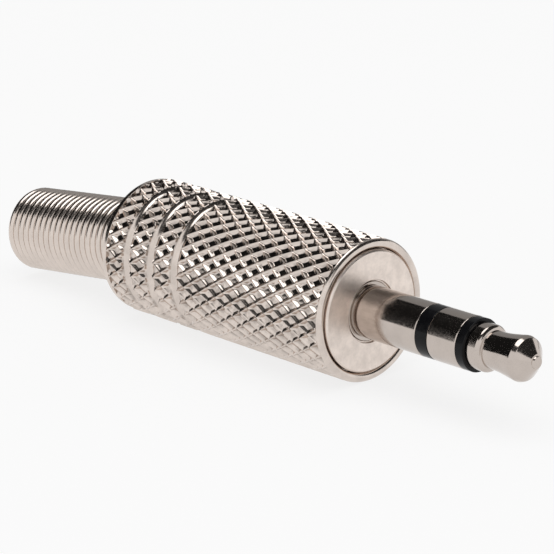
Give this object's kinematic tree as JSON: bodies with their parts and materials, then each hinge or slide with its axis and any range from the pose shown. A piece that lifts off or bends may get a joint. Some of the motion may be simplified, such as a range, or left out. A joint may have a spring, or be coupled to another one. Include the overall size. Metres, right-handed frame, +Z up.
{
  "type": "stereo jack plug",
  "caption": "Nickel-plated stereo jack plug with a knurled screw-on barrel, black insulating rings and a close-wound spring strain relief.",
  "frame": {"origin": "on the plug's axis at the front face of the disc, where the shaft's full insertion length starts", "axes": "+X along the plug's axis towards the nose, +Z up as the plug lies on its barrel, +Y to the left of the nose"},
  "size_m": [0.0493, 0.0096, 0.0096],
  "materials": {
    "nickel": "polished nickel plate",
    "knurled_nickel": "nickel plate over a diamond knurl",
    "spring_nickel": "nickel-plated spring wire",
    "satin_nickel": "satin nickel plate",
    "tinned_brass": "dull tin plate",
    "black_plastic": "glossy black moulded ring",
    "natural_plastic": "natural translucent plastic tube",
    "fibre": "dark red vulcanised fibre"
  },
  "bodies": {
    "plug_core": {"tip_contact": "nickel", "tip_insulator_ring": "black_plastic", "tip_insulating_tube": "natural_plastic", "ring_contact": "nickel", "ring_insulator_ring": "black_plastic", "ring_insulating_tube": "natural_plastic", "sleeve_contact": "nickel", "threaded_body": "satin_nickel", "rear_insulating_washer": "fibre", "ring_lug": "tinned_brass", "lug_insulating_washer": "fibre", "tip_lug": "tinned_brass", "ground_lug": "tinned_brass"},
    "liner": {"insulating_liner": "natural_plastic"},
    "spring": {"strain_relief_spring": "spring_nickel"},
    "barrel": {"barrel": "knurled_nickel"}
  },
  "joints": [
    {"name": "barrel_draw_off", "type": "slide", "parent": "plug_core", "child": "liner", "axis": [-1, 0, 0], "range_m": [0, 0.022]},
    {"name": "barrel_advance", "type": "slide", "parent": "liner", "child": "spring", "axis": [-1, 0, 0], "range_m": [0, 0.003]},
    {"name": "barrel_unscrew", "type": "hinge", "parent": "spring", "child": "barrel", "pos_m": [0, 0, 0], "axis": [-1, 0, 0], "range_deg": [0, 2160]}
  ],
  "couplings": [
    {"joint": "barrel_unscrew", "follows": "barrel_advance", "rad_per_m": 12566}
  ]
}
